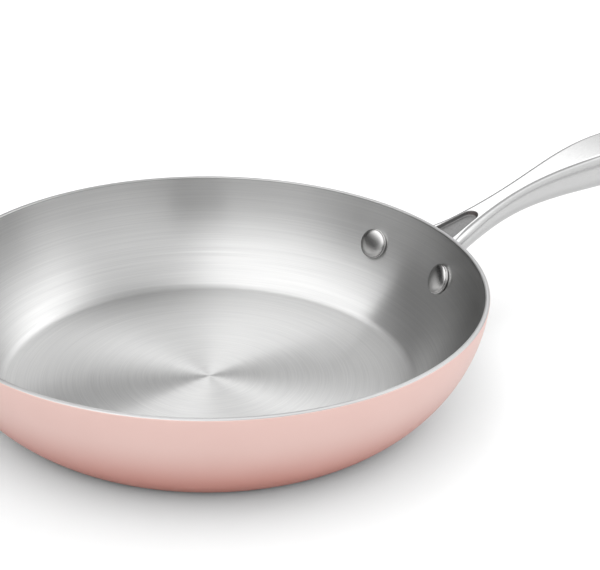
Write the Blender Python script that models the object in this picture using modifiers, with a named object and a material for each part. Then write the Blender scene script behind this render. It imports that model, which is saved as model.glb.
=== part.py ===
"""Frying pan: a three-layer bonded steel body with a riveted, hollow cast steel handle.

The frame has its origin at the centre of the flat underside, +Z up, and +X along the handle.
Lengths are in metres and angles in radians.
"""
import math

import bmesh
import bpy
from mathutils import Vector

# Body: the outer surface is a flat disc, a corner arc and a wall arc that end at the rim
RIM_RADIUS = 0.120
RIM_HEIGHT = 0.0492
BASE_RADIUS = 0.088
CORNER_RADIUS = 0.0103
RIM_ANGLE = math.radians(86.0)

# Layers of the body, from outside to inside, and the clearance between any two pieces
OUTER_SKIN_THICKNESS = 0.00045
CORE_THICKNESS = 0.0008
INNER_SKIN_THICKNESS = 0.00045
CLEARANCE = 0.0003

# Rivets: how far below the rim they sit, and the clear space between a tail and the arm's root
RIVET_DROP = 0.0191
RIVET_SIDE_GAP = 0.0031
RIVET_HEAD_RADIUS = 0.0071
RIVET_SKIRT_HEIGHT = 0.0009
RIVET_DOME_HEIGHT = 0.0014
RIVET_SHANK_RADIUS = 0.0030
RIVET_TAIL_LIP = 0.0016
RIVET_TAIL_HEIGHT = 0.0014
RIVET_TAIL_ROUND = 0.0005

# Handle flange, which hugs the outside of the wall and reaches past each rivet's tail
FLANGE_THICKNESS = 0.0030
FLANGE_MARGIN = 0.0052

# Handle arm: its distances count from the root, a little inside the rim's radius
HANDLE_LENGTH = 0.192
HANDLE_ROOT_INSET = 0.0020

# Handle arm: the top line starts above the rivets, climbs straight, then bends to the end's slope
HANDLE_ROOT_RISE = 0.0049
HANDLE_ROOT_ANGLE = math.radians(17.33)
HANDLE_END_ANGLE = math.radians(2.86)
BEND_START = 0.038
BEND_END = 0.140

# Handle arm: half widths of the top face, and where the waist and the grip lie from the root
ROOT_HALF_WIDTH = 0.0136
WAIST_HALF_WIDTH = 0.0047
GRIP_HALF_WIDTH = 0.0098
WAIST_DISTANCE = 0.054
GRIP_DISTANCE = 0.124

# Handle arm: the flat ledge beside the top face, and the rounding beyond it out to the widest line
WAIST_LEDGE = 0.0005
GRIP_LEDGE = 0.0023
LEDGE_DROP = 0.00025
ROOT_ROUND = 0.0034
WAIST_ROUND = 0.0009
GRIP_ROUND = 0.0010

# Handle arm: depth of the section, the share of it above the widest line, and the drawn-in belly
NECK_DEPTH = 0.0114
GRIP_DEPTH = 0.0186
END_DEPTH = 0.0120
NECK_DISTANCE = 0.042
ROOT_FLARE_DEPTH = 0.0028
ROOT_FLARE_LENGTH = 0.018
WIDEST_SHARE = 0.38
BELLY_SHARE = 0.50

# Handle arm: the free end is round in plan and keeps this share of its depth at the very tip
END_ROUNDING = 0.014
TIP_DEPTH_SHARE = 0.55
TIP_ANGLE = math.radians(84.0)

# Handle arm: the crown of the top face and the crease along each side of it
TOP_CROWN = 0.0006
CREASE_WIDTH = 0.0005
CREASE_DEPTH = 0.0004
CREASE_START = 0.020

# Recess in the top of the handle: the margin lies between the flange and the recess
POCKET_MARGIN = 0.0008
POCKET_ROOT_HALF_WIDTH = 0.0083
POCKET_TIP_RADIUS = 0.0031
POCKET_LENGTH = 0.0315
POCKET_DEPTH = 0.0022

# Hanging slot, and the metal between it and the tip
SLOT_RADIUS = 0.0045
SLOT_LENGTH = 0.0160
SLOT_END_WALL = 0.0085

# Hollow inside the grip: its wall, the solid metal at its two ends, and its vent
HOLLOW_WALL = 0.0018
HOLLOW_POCKET_WALL = 0.015
HOLLOW_SLOT_WALL = 0.0055
VENT_RADIUS = 0.00125
VENT_INSET = 0.006

# How far a cutter runs past what it cuts
OVERRUN = 0.002

# Fineness of the round shapes
TURN_STEPS = 64
CORNER_STEPS = 4
WALL_STEPS = 6
RIVET_STEPS = 24
DOME_STEPS = 5
LOBE_STEPS = 14
NOSE_STEPS = 10
SLOT_STEPS = 10
VENT_STEPS = 12
ARM_STEPS = 27
TIP_STEPS = 7
TOP_STEPS = 3
SHOULDER_STEPS = 3
BELLY_STEPS = 4
HOLLOW_STEPS = 12
SHARP_ANGLE = math.radians(32.0)
MERGE_DISTANCE = 0.000001

COLLECTION_NAME = "frying_pan"
CUTTER_COLLECTION_NAME = "cutters"

# Sizes that follow from the ones above
WALL_THICKNESS = OUTER_SKIN_THICKNESS + CORE_THICKNESS + INNER_SKIN_THICKNESS + 2 * CLEARANCE
RIVET_HEIGHT = RIM_HEIGHT - RIVET_DROP
RIVET_TAIL_RADIUS = RIVET_SHANK_RADIUS + RIVET_TAIL_LIP
RIVET_GRIP = WALL_THICKNESS + FLANGE_THICKNESS + 2 * CLEARANCE
LOBE_RADIUS = RIVET_TAIL_RADIUS + FLANGE_MARGIN
HANDLE_ROOT_RADIUS = RIM_RADIUS - HANDLE_ROOT_INSET
HANDLE_ROOT_HEIGHT = RIVET_HEIGHT + HANDLE_ROOT_RISE
HANDLE_ROOT_REACH = ROOT_HALF_WIDTH + WAIST_LEDGE + ROOT_ROUND
SLOT_DISTANCE = HANDLE_LENGTH - SLOT_END_WALL - SLOT_LENGTH / 2


def clear_scene():
    """Remove every object that the scene starts with."""
    for item in list(bpy.data.objects):
        bpy.data.objects.remove(item, do_unlink=True)


def new_collection(name):
    collection = bpy.data.collections.new(name)
    bpy.context.scene.collection.children.link(collection)
    return collection


def new_object(name, mesh, collection):
    item = bpy.data.objects.new(name, mesh)
    collection.objects.link(item)
    return item


def new_cutter(name, mesh, collection):
    """A cutter shapes its neighbours and is no part of the pan."""
    item = new_object(name, mesh, collection)
    item.hide_render = True
    item.display_type = "WIRE"
    return item


def metal(name, colour, roughness, metallic):
    """A plain metal or coated finish."""
    material = bpy.data.materials.new(name)
    material.use_nodes = True
    shader = material.node_tree.nodes["Principled BSDF"]
    shader.inputs["Base Color"].default_value = (*colour, 1.0)
    shader.inputs["Roughness"].default_value = roughness
    shader.inputs["Metallic"].default_value = metallic
    material.diffuse_color = (*colour, 1.0)
    return material


def brushed_steel():
    return metal("brushed_steel", (0.62, 0.62, 0.61), 0.32, 1.0)


def aluminium():
    return metal("aluminium", (0.78, 0.79, 0.80), 0.40, 1.0)


def rose_coated_steel():
    return metal("rose_coated_steel", (0.80, 0.52, 0.45), 0.35, 0.0)


def satin_cast_steel():
    return metal("satin_cast_steel", (0.70, 0.70, 0.70), 0.25, 1.0)


def polished_steel():
    return metal("polished_steel", (0.66, 0.65, 0.64), 0.12, 1.0)


def wall_arcs():
    """Centres of the corner arc and the wall arc, the wall arc's radius, and the angle where they join.

    The wall arc ends at the rim with the rim's angle, and meets the corner arc smoothly.
    """
    corner = Vector((BASE_RADIUS, CORNER_RADIUS))
    rim = Vector((RIM_RADIUS, RIM_HEIGHT))
    inward = Vector((-math.sin(RIM_ANGLE), math.cos(RIM_ANGLE)))
    reach = rim - corner
    radius = (CORNER_RADIUS ** 2 - reach.length_squared) / (2 * (reach.dot(inward) + CORNER_RADIUS))
    centre = rim + radius * inward
    outward = (corner - centre).normalized()
    return corner, centre, radius, math.atan2(outward.y, outward.x)


def on_arc(centre, radius, angle):
    return centre.x + radius * math.cos(angle), centre.y + radius * math.sin(angle)


def surface_profile(depth):
    """Points from the axis to the rim on the surface that lies this deep inside the outer surface."""
    corner, centre, radius, join = wall_arcs()
    points = [(0.0, depth)]
    for step in range(CORNER_STEPS):
        angle = -math.pi / 2 + (join + math.pi / 2) * step / CORNER_STEPS
        points.append(on_arc(corner, CORNER_RADIUS - depth, angle))
    end = RIM_ANGLE - math.pi / 2
    for step in range(WALL_STEPS + 1):
        angle = join + (end - join) * step / WALL_STEPS
        points.append(on_arc(centre, radius - depth, angle))
    return points


def wall_point(height, depth):
    """Radius, height and outward direction on the wall arc, at a height on the inner surface."""
    centre, radius = wall_arcs()[1:3]
    inner_radius = radius - WALL_THICKNESS
    angle = math.asin((height - centre.y) / inner_radius)
    return on_arc(centre, radius - depth, angle), (math.cos(angle), math.sin(angle))


def outer_radius(height):
    """Radius of the wall's outer surface at a height on the wall arc."""
    centre, radius = wall_arcs()[1:3]
    return centre.x + math.sqrt(radius ** 2 - (height - centre.y) ** 2)


def turned(name, profile, steps, collection, maker=new_object):
    """A solid of revolution about Z, from a profile whose outer side runs from top to bottom."""
    mesh = bpy.data.meshes.new(name)
    points = [(radius, 0.0, height) for radius, height in profile]
    edges = [(index, index + 1) for index in range(len(points) - 1)]
    mesh.from_pydata(points, edges, [])
    item = maker(name, mesh, collection)
    screw = item.modifiers.new("turn", "SCREW")
    screw.axis = "Z"
    screw.steps = steps
    screw.render_steps = steps
    screw.use_merge_vertices = True
    screw.merge_threshold = MERGE_DISTANCE
    return item


def layer_profile(outer_depth, inner_depth):
    """Outline of one layer: along the floor, up the inner wall, over the rim and down again."""
    inner = surface_profile(inner_depth)
    outer = surface_profile(outer_depth)
    return inner + outer[::-1]


def cut(item, cutter, operation="DIFFERENCE"):
    boolean = item.modifiers.new(cutter.name, "BOOLEAN")
    boolean.operation = operation
    boolean.solver = "EXACT"
    boolean.object = cutter


def settle(item):
    """Replace the mesh by its evaluated form, so that it can be cut further or shaded."""
    graph = bpy.context.evaluated_depsgraph_get()
    mesh = bpy.data.meshes.new_from_object(item.evaluated_get(graph))
    item.modifiers.clear()
    item.data = mesh


def shade(item):
    """Smooth shading with sharp corners."""
    item.data.shade_smooth()
    item.data.set_sharp_from_angle(angle=SHARP_ANGLE)


def finish(item, material):
    settle(item)
    shade(item)
    item.data.materials.clear()
    item.data.materials.append(material)


def rivet_frame(side):
    """Seat on the inner wall and outward direction of the rivet on one side of the handle.

    The rivet stands far enough round the wall for its tail to clear the arm's root.
    """
    (radius, height), (out, up) = wall_point(RIVET_HEIGHT, WALL_THICKNESS)
    across = HANDLE_ROOT_REACH + RIVET_SIDE_GAP + RIVET_TAIL_RADIUS
    azimuth = side * math.asin(across / (radius + out * RIVET_GRIP))
    seat = Vector((radius * math.cos(azimuth), radius * math.sin(azimuth), height))
    outward = Vector((out * math.cos(azimuth), out * math.sin(azimuth), up))
    return seat, outward


def head_seat_offset():
    """How far a flat head stands off the hollow wall before its edge would touch, with clearance."""
    inner_radius = wall_arcs()[2] - WALL_THICKNESS
    sag = inner_radius - math.sqrt(inner_radius ** 2 - RIVET_HEAD_RADIUS ** 2)
    return sag + CLEARANCE


def rivet_profile():
    """Outline of a rivet along Z: tail at the top, head dome at the bottom, seat at height zero."""
    tail_top = RIVET_GRIP + RIVET_TAIL_HEIGHT
    head_face = -head_seat_offset()
    skirt_end = head_face - RIVET_SKIRT_HEIGHT
    points = [
        (0.0, tail_top),
        (RIVET_TAIL_RADIUS - RIVET_TAIL_ROUND, tail_top),
        (RIVET_TAIL_RADIUS, tail_top - RIVET_TAIL_ROUND),
        (RIVET_TAIL_RADIUS, RIVET_GRIP),
        (RIVET_SHANK_RADIUS, RIVET_GRIP),
        (RIVET_SHANK_RADIUS, head_face),
        (RIVET_HEAD_RADIUS, head_face),
    ]
    for step in range(DOME_STEPS):
        angle = math.pi / 2 * step / DOME_STEPS
        height = skirt_end - RIVET_DOME_HEIGHT * math.sin(angle)
        points.append((RIVET_HEAD_RADIUS * math.cos(angle), height))
    points.append((0.0, skirt_end - RIVET_DOME_HEIGHT))
    return points


def place_along(item, seat, outward):
    item.location = seat
    item.rotation_euler = outward.to_track_quat("Z", "Y").to_euler()


def rivet(name, side, collection, material):
    item = turned(name, rivet_profile(), RIVET_STEPS, collection)
    finish(item, material)
    seat, outward = rivet_frame(side)
    place_along(item, seat, outward)
    return item


def round_cutter(name, radius, length, steps, collection):
    """A cylinder along Z about the origin."""
    mesh = bpy.data.meshes.new(name)
    shape = bmesh.new()
    bmesh.ops.create_cone(
        shape,
        cap_ends=True,
        segments=steps,
        radius1=radius,
        radius2=radius,
        depth=length,
    )
    shape.to_mesh(mesh)
    shape.free()
    return new_cutter(name, mesh, collection)


def rivet_hole(name, side, collection):
    """A straight cutter for the shank with its clearance, through the wall and the flange."""
    length = 2 * (RIVET_GRIP + OVERRUN)
    item = round_cutter(name, RIVET_SHANK_RADIUS + CLEARANCE, length, RIVET_STEPS, collection)
    seat, outward = rivet_frame(side)
    place_along(item, seat, outward)
    return item


def body_layer(name, outer_depth, thickness, holes, collection, material):
    """One layer of the bonded body, with the two rivet holes."""
    item = turned(name, layer_profile(outer_depth, outer_depth + thickness), TURN_STEPS, collection)
    for hole in holes:
        cut(item, hole)
    finish(item, material)
    return item


def ease(share):
    """Smooth step from 0 to 1."""
    share = min(max(share, 0.0), 1.0)
    return share * share * (3 - 2 * share)


def blend(start, end, share):
    return start + (end - start) * share


def top_height(distance):
    """Height of the handle's top line at a distance from its root."""
    span = BEND_END - BEND_START
    share = max((distance - BEND_START) / span, 0.0)
    turned_share = share ** 3 - share ** 4 / 2 if share < 1.0 else share - 0.5
    root_slope = math.tan(HANDLE_ROOT_ANGLE)
    bend = (math.tan(HANDLE_END_ANGLE) - root_slope) * span * turned_share
    return HANDLE_ROOT_HEIGHT + root_slope * distance + bend


def along_arm(distance, root, waist, grip):
    """A size that runs from its value at the root through the waist to the widest part of the grip."""
    if distance < WAIST_DISTANCE:
        return blend(waist, root, (1 - distance / WAIST_DISTANCE) ** 2)
    return blend(waist, grip, ease((distance - WAIST_DISTANCE) / (GRIP_DISTANCE - WAIST_DISTANCE)))


def section_depth(distance):
    """Depth of the arm below its top line: a slim neck, a full grip and a lighter end."""
    grip_share = ease((distance - NECK_DISTANCE) / (GRIP_DISTANCE - NECK_DISTANCE))
    depth = blend(NECK_DEPTH, GRIP_DEPTH, grip_share)
    end_share = ease((distance - GRIP_DISTANCE) / (HANDLE_LENGTH - GRIP_DISTANCE))
    flare = (1 - min(max(distance / ROOT_FLARE_LENGTH, 0.0), 1.0)) ** 2
    return depth + (END_DEPTH - GRIP_DEPTH) * end_share + ROOT_FLARE_DEPTH * flare


def end_narrowing(distance):
    """Plan rounding of the free end, 1 along the handle and 0 at its tip."""
    past = (distance - (HANDLE_LENGTH - END_ROUNDING)) / END_ROUNDING
    if past <= 0.0:
        return 1.0
    return math.sqrt(max(0.0, 1 - past ** 2))


def half_section(distance, inset=0.0):
    """Right half of the arm's section, from the top centre down to the belly, as (across, up) pairs."""
    narrowing = end_narrowing(distance)
    top = along_arm(distance, ROOT_HALF_WIDTH, WAIST_HALF_WIDTH, GRIP_HALF_WIDTH) * narrowing - inset
    ledge = along_arm(distance, WAIST_LEDGE, WAIST_LEDGE, GRIP_LEDGE) * narrowing
    rounding = along_arm(distance, ROOT_ROUND, WAIST_ROUND, GRIP_ROUND) * narrowing
    full = top + ledge + rounding
    depth = section_depth(distance) * blend(TIP_DEPTH_SHARE, 1.0, narrowing) - 2 * inset
    widest = WIDEST_SHARE * depth
    crown = TOP_CROWN * narrowing
    crease = CREASE_WIDTH * narrowing
    crease_share = ease((distance - CREASE_START) / (WAIST_DISTANCE - CREASE_START))
    crease_depth = CREASE_DEPTH * crease_share * narrowing
    panel = top - crease

    points = []
    for step in range(TOP_STEPS + 1):
        share = step / TOP_STEPS
        points.append((share * panel, -crown * share ** 2))
    points.append((panel + crease / 2, -crown - crease_depth))
    points.append((top, -crown))
    shoulder = crown + LEDGE_DROP
    for step in range(SHOULDER_STEPS + 1):
        angle = math.pi / 2 * step / SHOULDER_STEPS
        down = shoulder + (widest - shoulder) * (1 - math.cos(angle))
        points.append((top + ledge + rounding * math.sin(angle), -down))
    for step in range(1, BELLY_STEPS + 1):
        angle = math.pi / 2 * step / BELLY_STEPS
        inward = full * BELLY_SHARE * (1 - math.cos(angle))
        points.append((full - inward, -widest - (depth - widest) * math.sin(angle)))
    points.append((0.0, -depth))
    return [(across, up - inset) for across, up in points]


def loft(name, distances, inset, collection, maker):
    """A closed body through the arm's sections at these distances from the root."""
    shape = bmesh.new()
    rings = []
    for distance in distances:
        right = half_section(distance, inset)
        left = [(-across, up) for across, up in right[-2:0:-1]]
        height = top_height(distance)
        along = HANDLE_ROOT_RADIUS + distance
        rings.append([shape.verts.new((along, across, height + up)) for across, up in right + left])
    for first, second in zip(rings, rings[1:]):
        edges = []
        for ring in (first, second):
            for start, end in zip(ring, ring[1:] + ring[:1]):
                edge = shape.edges.get((start, end))
                edges.append(edge or shape.edges.new((start, end)))
        bmesh.ops.bridge_loops(shape, edges=edges)
    shape.faces.new(rings[0])
    shape.faces.new(rings[-1])
    bmesh.ops.recalc_face_normals(shape, faces=shape.faces[:])
    mesh = bpy.data.meshes.new(name)
    shape.to_mesh(mesh)
    shape.free()
    return maker(name, mesh, collection)


def arm_distances():
    """Stations of the arm: from inside the flange, evenly spaced, with the round tip spaced by angle."""
    belly = HANDLE_ROOT_HEIGHT - section_depth(0.0)
    start = outer_radius(belly) + CLEARANCE + FLANGE_THICKNESS / 2 - HANDLE_ROOT_RADIUS
    straight_end = HANDLE_LENGTH - END_ROUNDING
    stations = [blend(start, straight_end, step / ARM_STEPS) for step in range(ARM_STEPS)]
    for step in range(TIP_STEPS + 1):
        angle = TIP_ANGLE * step / TIP_STEPS
        stations.append(straight_end + END_ROUNDING * math.sin(angle))
    return stations


def outline_prism(name, points, thickness, collection):
    """A flat outline in its own XY plane, filled and given a thickness about that plane."""
    curve = bpy.data.curves.new(name, "CURVE")
    curve.dimensions = "2D"
    curve.fill_mode = "BOTH"
    curve.extrude = thickness / 2
    spline = curve.splines.new("POLY")
    spline.points.add(len(points) - 1)
    for point, (x, y) in zip(spline.points, points):
        point.co = (x, y, 0.0, 1.0)
    spline.use_cyclic_u = True
    source = bpy.data.objects.new(name + "_outline", curve)
    collection.objects.link(source)
    graph = bpy.context.evaluated_depsgraph_get()
    mesh = bpy.data.meshes.new_from_object(source.evaluated_get(graph))
    bpy.data.objects.remove(source, do_unlink=True)
    shape = bmesh.new()
    shape.from_mesh(mesh)
    bmesh.ops.remove_doubles(shape, verts=shape.verts[:], dist=MERGE_DISTANCE)
    bmesh.ops.recalc_face_normals(shape, faces=shape.faces[:])
    shape.to_mesh(mesh)
    shape.free()
    return new_cutter(name, mesh, collection)


def arc_points(centre, radius, start, end, steps):
    points = []
    for step in range(steps + 1):
        angle = blend(start, end, step / steps)
        points.append((centre[0] + radius * math.cos(angle), centre[1] + radius * math.sin(angle)))
    return points


def flange_outline():
    """Outline of the flange seen along the handle: a lobe round each rivet, joined by a straight band."""
    seat, outward = rivet_frame(1)
    middle = seat + outward * (WALL_THICKNESS + CLEARANCE + FLANGE_THICKNESS / 2)
    right = arc_points((middle.y, middle.z), LOBE_RADIUS, -math.pi / 2, math.pi / 2, LOBE_STEPS)
    left = [(-across, up) for across, up in right[::-1]]
    return right + left


def pan_envelope(name, offset, collection):
    """Solid body of the pan, filled in, with its outer surface moved out by this offset."""
    surface = surface_profile(-offset)
    top = RIM_HEIGHT + OVERRUN
    profile = [(0.0, top), (surface[-1][0], top)] + surface[::-1]
    return turned(name, profile, TURN_STEPS, collection, new_cutter)


def flange(collection):
    """The flange before its inner face is cut: the outline within the outer envelope."""
    item = outline_prism("flange", flange_outline(), RIM_RADIUS, collection)
    item.rotation_euler = (math.pi / 2, 0.0, math.pi / 2)
    item.location = (RIM_RADIUS, 0.0, 0.0)
    envelope = pan_envelope("flange_envelope", CLEARANCE + FLANGE_THICKNESS, collection)
    cut(item, envelope, "INTERSECT")
    return item


def pocket_start():
    """Distance of the recess from the arm's root: just past the flange, at the top line's height."""
    flange_face = outer_radius(HANDLE_ROOT_HEIGHT) + CLEARANCE + FLANGE_THICKNESS
    return flange_face + POCKET_MARGIN - HANDLE_ROOT_RADIUS


def pocket_outline():
    """V-shaped recess with a round tip, along +X from its root edge at zero."""
    tip = POCKET_LENGTH - POCKET_TIP_RADIUS
    lean = math.atan2(POCKET_ROOT_HALF_WIDTH - POCKET_TIP_RADIUS, tip)
    nose = arc_points((tip, 0.0), POCKET_TIP_RADIUS, lean - math.pi / 2, math.pi / 2 - lean, NOSE_STEPS)
    return nose + [(0.0, POCKET_ROOT_HALF_WIDTH), (0.0, -POCKET_ROOT_HALF_WIDTH)]


def pocket(collection):
    """Cutter of the recess: it follows the slope of the top line and reaches the pocket depth."""
    height = 2 * (POCKET_DEPTH + OVERRUN)
    item = outline_prism("pocket", pocket_outline(), height, collection)
    start = pocket_start()
    middle = start + POCKET_LENGTH / 2
    rise = top_height(start + POCKET_LENGTH) - top_height(start)
    slope = math.atan2(rise, POCKET_LENGTH)
    normal = Vector((-math.sin(slope), 0.0, math.cos(slope)))
    along = Vector((math.cos(slope), 0.0, math.sin(slope)))
    floor = Vector((HANDLE_ROOT_RADIUS + middle, 0.0, top_height(middle))) - normal * POCKET_DEPTH
    item.location = floor + normal * height / 2 - along * POCKET_LENGTH / 2
    item.rotation_euler = (0.0, -slope, 0.0)
    return item


def hollow_ends():
    """Distances where the hollow starts and ends: solid metal is left at the recess and the slot."""
    start = pocket_start() + POCKET_LENGTH + HOLLOW_POCKET_WALL
    end = SLOT_DISTANCE - SLOT_LENGTH / 2 - HOLLOW_SLOT_WALL
    return start, end


def hollow(collection):
    """Cutter of the cavity inside the grip."""
    start, end = hollow_ends()
    distances = [blend(start, end, step / HOLLOW_STEPS) for step in range(HOLLOW_STEPS + 1)]
    return loft("hollow", distances, HOLLOW_WALL, collection, new_cutter)


def vent(collection):
    """Cutter of the small round vent from the belly into the cavity."""
    distance = hollow_ends()[1] - VENT_INSET
    item = round_cutter("vent", VENT_RADIUS, 2 * (HOLLOW_WALL + OVERRUN), VENT_STEPS, collection)
    belly = top_height(distance) - section_depth(distance)
    item.location = (HANDLE_ROOT_RADIUS + distance, 0.0, belly)
    return item


def hanging_slot(collection):
    """Cutter of the slot near the free end, square through the handle."""
    reach = SLOT_LENGTH / 2 - SLOT_RADIUS
    far = arc_points((reach, 0.0), SLOT_RADIUS, -math.pi / 2, math.pi / 2, SLOT_STEPS)
    near = arc_points((-reach, 0.0), SLOT_RADIUS, math.pi / 2, 3 * math.pi / 2, SLOT_STEPS)
    height = 2 * (GRIP_DEPTH + OVERRUN)
    item = outline_prism("hanging_slot", far + near, height, collection)
    item.location = (HANDLE_ROOT_RADIUS + SLOT_DISTANCE, 0.0, top_height(SLOT_DISTANCE))
    return item


def handle(holes, collection, cutters, material):
    """Cast handle: flange and arm in one, cut back from the wall, with its recess, hollow and holes."""
    item = loft("handle", arm_distances(), 0.0, collection, new_object)
    cut(item, flange(cutters), "UNION")
    cut(item, pan_envelope("wall_clearance", CLEARANCE, cutters))
    cut(item, pocket(cutters))
    cut(item, hollow(cutters))
    cut(item, vent(cutters))
    cut(item, hanging_slot(cutters))
    for hole in holes:
        cut(item, hole)
    finish(item, material)
    return item


def build():
    clear_scene()
    collection = new_collection(COLLECTION_NAME)
    cutters = new_collection(CUTTER_COLLECTION_NAME)
    holes = [rivet_hole("rivet_hole_left", 1, cutters), rivet_hole("rivet_hole_right", -1, cutters)]

    core_depth = OUTER_SKIN_THICKNESS + CLEARANCE
    inner_depth = core_depth + CORE_THICKNESS + CLEARANCE
    body_layer("outer_steel_skin", 0.0, OUTER_SKIN_THICKNESS, holes, collection, rose_coated_steel())
    body_layer("aluminium_core", core_depth, CORE_THICKNESS, holes, collection, aluminium())
    body_layer("inner_steel_skin", inner_depth, INNER_SKIN_THICKNESS, holes, collection, brushed_steel())
    handle(holes, collection, cutters, satin_cast_steel())
    rivet_material = polished_steel()
    rivet("rivet_left", 1, collection, rivet_material)
    rivet("rivet_right", -1, collection, rivet_material)


build()
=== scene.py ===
"""Looks of the frying pan: fine turned layers, a cast handle and polished rivets in a pale studio.

Lengths are in metres and angles in radians, but the studio's patches are placed in degrees. The frame's
origin is the centre of the flat underside, with +Z up and +X along the handle.
"""

import math

import bmesh
import bpy
from mathutils import Matrix, Vector


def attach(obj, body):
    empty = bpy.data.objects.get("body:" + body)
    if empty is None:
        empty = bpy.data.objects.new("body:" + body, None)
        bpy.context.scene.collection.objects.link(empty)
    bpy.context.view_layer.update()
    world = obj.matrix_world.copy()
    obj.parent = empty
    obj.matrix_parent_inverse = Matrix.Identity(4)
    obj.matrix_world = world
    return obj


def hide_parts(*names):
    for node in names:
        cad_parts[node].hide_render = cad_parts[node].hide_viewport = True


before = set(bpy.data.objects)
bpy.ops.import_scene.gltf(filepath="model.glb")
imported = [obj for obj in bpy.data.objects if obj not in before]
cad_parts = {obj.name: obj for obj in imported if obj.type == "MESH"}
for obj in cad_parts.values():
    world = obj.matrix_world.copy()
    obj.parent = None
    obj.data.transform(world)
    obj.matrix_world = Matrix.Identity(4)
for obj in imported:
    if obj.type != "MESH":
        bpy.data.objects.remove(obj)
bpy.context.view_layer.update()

# Body: the outer surface is a flat disc, a corner arc and a wall arc that end at the rim
RIM_RADIUS = 0.120
RIM_HEIGHT = 0.0492
BASE_RADIUS = 0.088
CORNER_RADIUS = 0.0103
RIM_ANGLE = math.radians(86.0)
WALL_THICKNESS = 0.0023

# Depths at which the body's bonded layers meet, and the roundings of the rim's two edges
COAT_DEPTH = 0.0006
CORE_DEPTH = 0.00155
RIM_OUTER_ROUND = 0.00048
RIM_INNER_ROUND = 0.0004
LAYER_EDGE_ROUND = 0.00006

# Body: the clearance between pieces, and the radii of the rings that the flat floor is made of
CLEARANCE = 0.0003
FLOOR_RINGS = (0.0, 0.004, 0.015, 0.035, 0.060)

# Rim: how far below it the inside turns dull and the coating ends, and how wavy and soft that end is
DULL_RIM_DEPTH = 0.0008
BARE_RIM_DEPTH = 0.0003
BARE_RIM_WAVE = 0.0001
BARE_RIM_SOFTNESS = 0.00015

# Rivets
RIVET_HEIGHT = 0.0301
RIVET_AZIMUTH = math.radians(12.28)
RIVET_HEAD_RADIUS = 0.0071
RIVET_SKIRT_RADIUS = 0.0066
RIVET_SKIRT_HEIGHT = 0.0009
RIVET_SKIRT_ROUND = 0.00025
RIVET_DOME_HEIGHT = 0.0014
RIVET_SHANK_RADIUS = 0.0030
RIVET_TAIL_RADIUS = 0.0046
RIVET_TAIL_HEIGHT = 0.0014
RIVET_TAIL_ROUND = 0.0006
RIVET_TAIL_DROP = 0.0009
RIVET_TAIL_START = math.radians(76.5)
UNDERCUT = 0.0002
HOLE_LENGTH = 0.030

# Handle flange
FLANGE_THICKNESS = 0.0030
LOBE_RADIUS = 0.0098
FLANGE_EDGE_ROUND = 0.0009
FLANGE_RINGS = (0.0, 0.35, 0.7)

# Handle arm: the top line starts above the rivets, climbs straight, then bends to the end's slope
HANDLE_LENGTH = 0.192
HANDLE_ROOT_RADIUS = 0.118
HANDLE_ROOT_HEIGHT = 0.0350
HANDLE_ROOT_ANGLE = math.radians(17.33)
HANDLE_END_ANGLE = math.radians(2.86)
BEND_START = 0.038
BEND_END = 0.140

# Handle arm: half widths of the top face, and where the waist and the grip lie from the root
ROOT_HALF_WIDTH = 0.0136
WAIST_HALF_WIDTH = 0.0047
GRIP_HALF_WIDTH = 0.0116
WAIST_DISTANCE = 0.054
GRIP_DISTANCE = 0.124

# Handle arm: how far the sides swell out beside the top face, and depth of the section
ROOT_SIDE = 0.0039
WAIST_SIDE = 0.0013
GRIP_SIDE = 0.0021
SIDE_START = math.radians(38.0)
NECK_DEPTH = 0.0114
GRIP_DEPTH = 0.0186
END_DEPTH = 0.0120
NECK_DISTANCE = 0.042
ROOT_FLARE_DEPTH = 0.0028
ROOT_FLARE_LENGTH = 0.018
WIDEST_SHARE = 0.50
BELLY_SHARE = 0.50

# Handle arm: the round free end, the soft edges of the top face, and where the side's crease grows
END_ROUNDING = 0.014
TIP_DEPTH_SHARE = 0.55
TIP_ANGLE = math.radians(83.5)
EDGE_WIDTH = 0.0022
EDGE_POWER = 2.2
CREASE_START = 0.002
CREASE_FULL = 0.026

# Handle: fillet between the arm and the flange
FILLET_RADIUS = 0.0026
FILLET_BITE = 0.0004

# Handle: recess beside the pan, and the roundings at its lip and floor
POCKET_START = 0.0035
POCKET_ROOT_HALF_WIDTH = 0.0083
POCKET_TIP_RADIUS = 0.0043
POCKET_ROOT_CORNER = 0.0012
POCKET_LENGTH = 0.0309
POCKET_DEPTH = 0.0022
POCKET_LIP = 0.00035
POCKET_FLOOR_ROUND = 0.0005
POCKET_FLOOR_INSET = 0.00387

# Handle: hanging slot and vent
SLOT_DISTANCE = 0.1755
SLOT_RADIUS = 0.0045
SLOT_LENGTH = 0.0160
SLOT_LIP = 0.0009
VENT_DISTANCE = 0.156
VENT_RADIUS = 0.00125
VENT_DEPTH = 0.0030

# Fineness of the shapes, and the smallest round that keeps a ring open
TURN_STEPS = 192
CORNER_STEPS = 12
WALL_STEPS = 30
ROUND_STEPS = 5
RIVET_STEPS = 72
HOLE_STEPS = 36
DOME_STEPS = 16
ARM_STEPS = 150
TIP_STEPS = 24
TOP_STEPS = 14
EDGE_STEPS = 10
SHOULDER_STEPS = 16
BELLY_STEPS = 18
LOBE_STEPS = 28
SLOT_STEPS = 20
SMALLEST_ROUND = 0.0003
SHARP_ANGLE = math.radians(34.0)
MERGE_DISTANCE = 0.000002
OVERRUN = 0.002

# Camera, in a frame turned about the pan's axis so that +Y looks away from it
PAN_TURN = math.radians(33.2)
CAMERA_DISTANCE = 0.720
CAMERA_ELEVATION = 0.50029
CAMERA_YAW = 0.06155
CAMERA_PITCH = 0.44404
CAMERA_ROLL = 0.02615
CAMERA_LENS = 97.61
SENSOR_WIDTH = 36.0

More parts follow.
